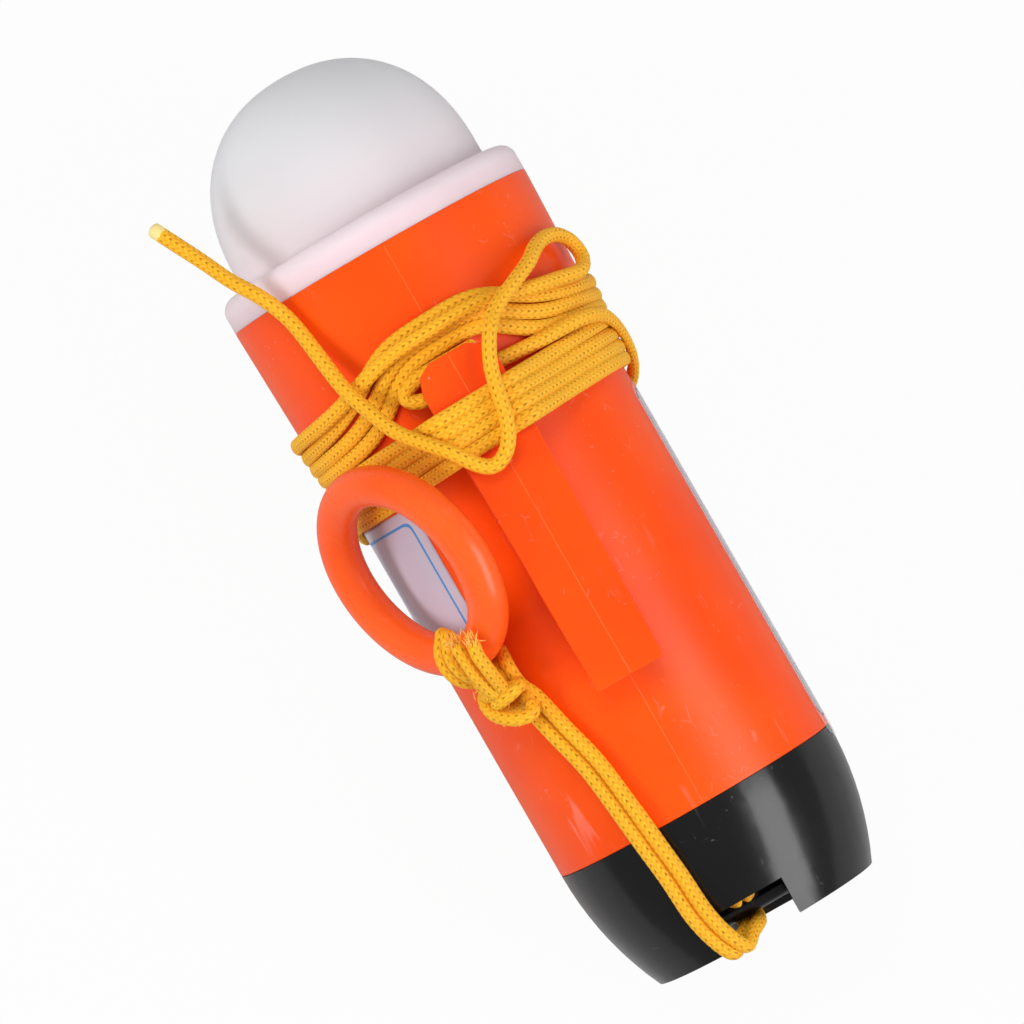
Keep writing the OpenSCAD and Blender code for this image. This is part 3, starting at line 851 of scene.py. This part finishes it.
# ---------------------------------------------------------------- tongue and cap with softened edges
def softened(node, name, mat, width, degrees):
    """A copy of a CAD node with its sharp edges rounded, which stands for the node."""
    o = nodes[node].copy()
    o.data = nodes[node].data.copy()
    o.name = name
    for key in list(o.keys()):
        del o[key]
    o.parent = None
    bpy.context.scene.collection.objects.link(o)
    bm = bmesh.new()
    bm.from_mesh(o.data)
    bmesh.ops.remove_doubles(bm, verts=bm.verts, dist=2e-6)
    bmesh.ops.dissolve_limit(bm, angle_limit=math.radians(1.0), verts=bm.verts, edges=bm.edges)
    bm.to_mesh(o.data)
    bm.free()
    o.data.materials.clear()
    o.data.materials.append(mat.material)
    if o.data.attributes.get("custom_normal"):
        o.data.attributes.remove(o.data.attributes["custom_normal"])
    bevel = o.modifiers.new("soft_edges", "BEVEL")
    bevel.width = width * MM
    bevel.segments = 3
    bevel.limit_method = "ANGLE"
    bevel.angle_limit = math.radians(degrees)
    bevel.use_clamp_overlap = True
    o.modifiers.new("normals", "WEIGHTED_NORMAL").keep_sharp = True
    for face in o.data.polygons:
        face.use_smooth = True
    return o


tongue = softened("hanging_tongue", "tongue_moulding", orange, 0.45, 30)
belongs(tongue, "light", "orange_shell", "hanging_tongue")
cap = softened("end_cap", "cap_moulding", black, 0.35, 32)
belongs(cap, "light", "black_cap", "end_cap")


# ---------------------------------------------------------------- labels and film
def sheet_size(angles, heights, r):
    """Width and height of a bent sheet when it is laid flat."""
    return math.radians(angles[1] - angles[0]) * r, heights[1] - heights[0]


def bent_sheet(name, angles, heights, r, corner, mat, thick):
    """A sheet on the tube between two angles and two heights; its UV is in mm."""
    w, h = sheet_size(angles, heights, r)
    shares = np.linspace(0, 1, 61)
    points, flat = [], []
    for y in shares * h:
        into_corner = max(0.0, corner - min(y, h - y))
        cut = corner - math.sqrt(corner**2 - into_corner**2)
        for x in cut + shares * (w - 2 * cut):
            points.append(around(angles[0] + math.degrees(x / r), r, heights[0] + y))
            flat.append((x, y))
    faces = grid_faces(len(shares), len(shares))
    o = mesh_object(name, np.array(points), faces, mat, [flat[k] for f in faces for k in f])
    thickness = o.modifiers.new("thickness", "SOLIDIFY")
    thickness.thickness = thick * MM
    thickness.offset = 1
    return o


LABEL_R = BODY_R + 0.02
FILM_R = BODY_R + 0.2
LABEL_THICK, FILM_THICK = 0.12, 0.1

side_place = ((-137, -42), (TONGUE_LOW + 16.8, RIM_Z - 46.8), LABEL_R)
side_size = sheet_size(*side_place)
side_mat = label_material("side_label", (0.56, 0.53, 0.63), (0.07, 0.28, 0.62), *side_size, 2.6, 0.55)
side_label = bent_sheet("side_label_sheet", *side_place, 2.5, side_mat, LABEL_THICK)
belongs(side_label, "light", "label", "label_side")

back_place = ((75, 161), (CAP_Z + 2, RIM_Z - 48.5), LABEL_R)
back_size = sheet_size(*back_place)
back_mat = label_material("back_label", (0.60, 0.56, 0.62), (0.10, 0.03, 0.05), *back_size, 0.35, 0.5)
back_label = bent_sheet("back_label_sheet", *back_place, 3.0, back_mat, LABEL_THICK)
belongs(back_label, "light", "label", "label_back")

film_place = ((72, 164), (CAP_Z - 2.4, RIM_Z - 47), FILM_R)
film_sheet = bent_sheet("film_sheet", *film_place, 3.5, film, FILM_THICK)
belongs(film_sheet, "light", "film", "label_film")

# ---------------------------------------------------------------- floor, light, world
# the floor is nearly white to the camera and grey to the light
floor = bpy.data.objects.new("floor", bpy.data.meshes.new("floor"))
floor.data.from_pydata([(-3, -3, 0), (3, -3, 0), (3, 3, 0), (-3, 3, 0)], [], [(0, 1, 2, 3)])
bpy.context.scene.collection.objects.link(floor)
floor_mat = bpy.data.materials.new("floor")
floor_mat.use_nodes = True
tree = floor_mat.node_tree
tree.nodes.clear()
output = tree.nodes.new("ShaderNodeOutputMaterial")
diffuse = tree.nodes.new("ShaderNodeBsdfDiffuse")
diffuse.inputs["Color"].default_value = (0.5, 0.5, 0.5, 1)
white = tree.nodes.new("ShaderNodeEmission")
white.inputs["Color"].default_value = (1, 1, 1, 1)
white.inputs["Strength"].default_value = 1.0
rays = tree.nodes.new("ShaderNodeLightPath")
share = tree.nodes.new("ShaderNodeMath")
share.operation = "MULTIPLY"
share.inputs[1].default_value = 0.96
blend = tree.nodes.new("ShaderNodeMixShader")
for source, target in (
    (rays.outputs["Is Camera Ray"], share.inputs[0]),
    (share.outputs[0], blend.inputs[0]),
    (diffuse.outputs[0], blend.inputs[1]),
    (white.outputs[0], blend.inputs[2]),
    (blend.outputs[0], output.inputs[0]),
):
    tree.links.new(source, target)
floor.data.materials.append(floor_mat)

# the world is white to the camera and dim to the object
world = bpy.data.worlds.new("world")
bpy.context.scene.world = world
world.use_nodes = True
tree = world.node_tree
background = tree.nodes["Background"]
background.inputs["Color"].default_value = (1, 1, 1, 1)
rays = tree.nodes.new("ShaderNodeLightPath")
strength = tree.nodes.new("ShaderNodeMapRange")
strength.inputs["To Min"].default_value = 0.3
strength.inputs["To Max"].default_value = 1.0
tree.links.new(rays.outputs["Is Camera Ray"], strength.inputs["Value"])
tree.links.new(strength.outputs["Result"], background.inputs["Strength"])


def softbox(name, offset, energy, width, height, mirrored=True):
    """An area lamp. Its offset from the aim is across the tube, along it and towards the photo's camera."""
    lamp = bpy.data.lights.new(name, "AREA")
    lamp.shape = "RECTANGLE"
    lamp.size = width
    lamp.size_y = height
    lamp.energy = energy
    o = bpy.data.objects.new(name, lamp)
    o.visible_glossy = mirrored
    bpy.context.scene.collection.objects.link(o)
    at = aim + side * offset[0] + AXIS * offset[1] + toward * offset[2]
    z = (at - aim).normalized()
    x = AXIS.cross(z).normalized()
    o.matrix_world = placed(at, x, z.cross(x), z)


softbox("key_right", (0.62, -0.54, 0.62), 6.3, 0.5, 0.88)
softbox("fill_left", (-0.8, 0.1, 0.5), 4.9, 0.3, 0.8, mirrored=False)
softbox("top", (0.05, 0.55, 1.0), 5.2, 0.5, 0.5, mirrored=False)
softbox("end", (0.2, -0.8, 0.5), 0.8, 0.4, 0.4, mirrored=False)

bpy.context.scene.view_settings.view_transform = "Standard"
